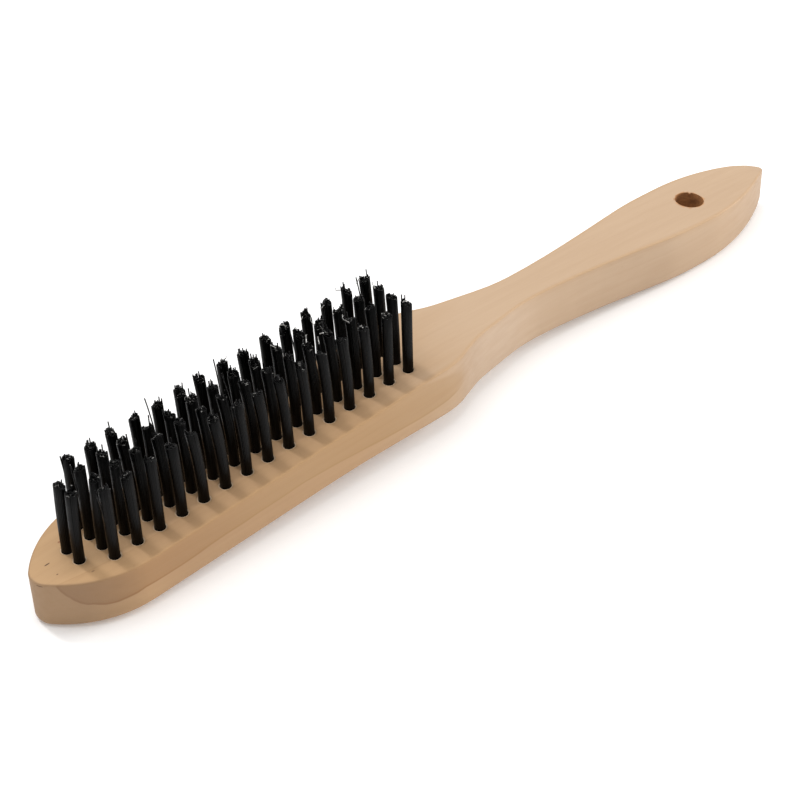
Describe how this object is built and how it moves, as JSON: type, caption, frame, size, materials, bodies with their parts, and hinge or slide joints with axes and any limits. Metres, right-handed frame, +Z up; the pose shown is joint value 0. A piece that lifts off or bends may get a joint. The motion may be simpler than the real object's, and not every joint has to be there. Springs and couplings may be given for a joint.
{
  "type": "wire brush",
  "caption": "Hand wire scratch brush: a wooden back with a curved, pointed handle and rows of black steel wire tufts for cleaning welds and rust.",
  "frame": {"origin": "middle of the box, on the surface that the brush lies on with its wires up, under the middle of the wooden back", "axes": "+X along the handle from the toe to the tail, +Y across the back, +Z up; the wires lean 3.2 degrees from +Z towards the toe because the brush rests on its toe and its curved tail"},
  "size_m": [0.2906, 0.0306, 0.0461],
  "materials": {
    "wood": "planed and sanded, unvarnished",
    "tuft_wire": "black oxide wire, satin",
    "anchor_wire": "bright flat wire"
  },
  "bodies": {
    "root": {"anchors_row_1": "anchor_wire", "anchors_row_2": "anchor_wire", "anchors_row_3": "anchor_wire", "anchors_row_4": "anchor_wire", "handle_block": "wood", "tufts_01_toe": "tuft_wire", "tufts_02_far": "tuft_wire", "tufts_02_near": "tuft_wire", "tufts_03_far": "tuft_wire", "tufts_03_near": "tuft_wire", "tufts_04_far": "tuft_wire", "tufts_04_near": "tuft_wire", "tufts_05_far": "tuft_wire", "tufts_05_near": "tuft_wire", "tufts_06_far": "tuft_wire", "tufts_06_near": "tuft_wire", "tufts_07_far": "tuft_wire", "tufts_07_near": "tuft_wire", "tufts_08_far": "tuft_wire", "tufts_08_near": "tuft_wire", "tufts_09_far": "tuft_wire", "tufts_09_near": "tuft_wire", "tufts_10_far": "tuft_wire", "tufts_10_near": "tuft_wire", "tufts_11_far": "tuft_wire", "tufts_11_near": "tuft_wire", "tufts_12_far": "tuft_wire", "tufts_12_near": "tuft_wire", "tufts_13_far": "tuft_wire", "tufts_13_near": "tuft_wire", "tufts_14_far": "tuft_wire", "tufts_14_near": "tuft_wire", "tufts_15_far": "tuft_wire", "tufts_15_near": "tuft_wire", "tufts_16_far": "tuft_wire", "tufts_16_near": "tuft_wire"}
  },
  "joints": []
}
